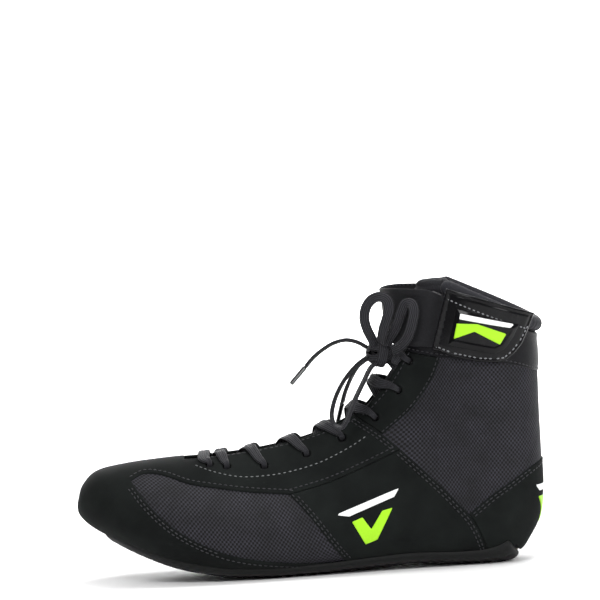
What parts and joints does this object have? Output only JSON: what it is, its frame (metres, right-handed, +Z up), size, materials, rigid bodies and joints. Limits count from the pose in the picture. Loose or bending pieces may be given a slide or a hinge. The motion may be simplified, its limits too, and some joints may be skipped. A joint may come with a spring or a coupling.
{
  "type": "boxing boot",
  "caption": "Ankle-high left boxing boot with mesh windows, lace-up throat tied in a bow, and a hook-and-loop ankle strap.",
  "frame": {"origin": "floor under the middle of the boot", "axes": "-X to the toe, +X to the heel, -Y to the outer side of this left foot, +Z up"},
  "size_m": [0.2973, 0.0952, 0.1802],
  "materials": {
    "nubuck": "matt, fine nap",
    "spacer_mesh": "matt open knit",
    "smooth_leather": "satin, fine grain",
    "patent_leather": "high gloss",
    "strap_webbing": "matt woven",
    "lining_textile": "matt brushed",
    "tongue_textile": "matt",
    "lace_braid": "matt braid",
    "aglet_film": "gloss",
    "outsole_rubber": "matt textured",
    "fibre_board": "matt fibre",
    "footbed_foam": "matt",
    "hook_and_loop": "matt pile",
    "white_film": "satin print",
    "green_film": "satin print"
  },
  "bodies": {
    "boot": {"outsole": "outsole_rubber", "lasting_board": "fibre_board", "insole": "footbed_foam", "toe_puff": "fibre_board", "heel_counter": "fibre_board", "lining": "lining_textile", "toe_and_vamp": "nubuck", "toe_mesh_outer": "spacer_mesh", "quarter_outer": "nubuck", "ankle_facing_outer": "nubuck", "ankle_mesh_outer": "spacer_mesh", "toe_mesh_inner": "spacer_mesh", "quarter_inner": "nubuck", "ankle_facing_inner": "nubuck", "ankle_mesh_inner": "spacer_mesh", "heel_wrap": "nubuck", "collar_cuff": "smooth_leather", "collar_roll": "lining_textile", "tongue": "tongue_textile", "lace_run": "lace_braid", "lace_knot": "lace_braid", "bow_loop_front": "lace_braid", "bow_loop_back": "lace_braid", "bow_loop_hanging": "lace_braid", "lace_end_front": "lace_braid", "aglet_front": "aglet_film", "lace_end_hanging": "lace_braid", "aglet_hanging": "aglet_film", "strap_band": "strap_webbing", "strap_loop_pad": "hook_and_loop", "emblem_bar_outer": "white_film", "emblem_chevron_outer": "green_film", "emblem_bar_inner": "white_film", "emblem_chevron_inner": "green_film", "heel_bar": "white_film", "heel_chevron": "green_film"},
    "strap_end": {"strap_hook_pad": "hook_and_loop", "strap_patch": "patent_leather", "strap_badge": "patent_leather", "badge_bar": "white_film", "badge_chevron": "green_film"}
  },
  "joints": [
    {"name": "strap_peel", "type": "hinge", "parent": "boot", "child": "strap_end", "pos_m": [0.08234, -0.03618, 0.15301], "axis": [-0.2887, 0.0822, -0.9539], "range_deg": [0, 115]}
  ]
}
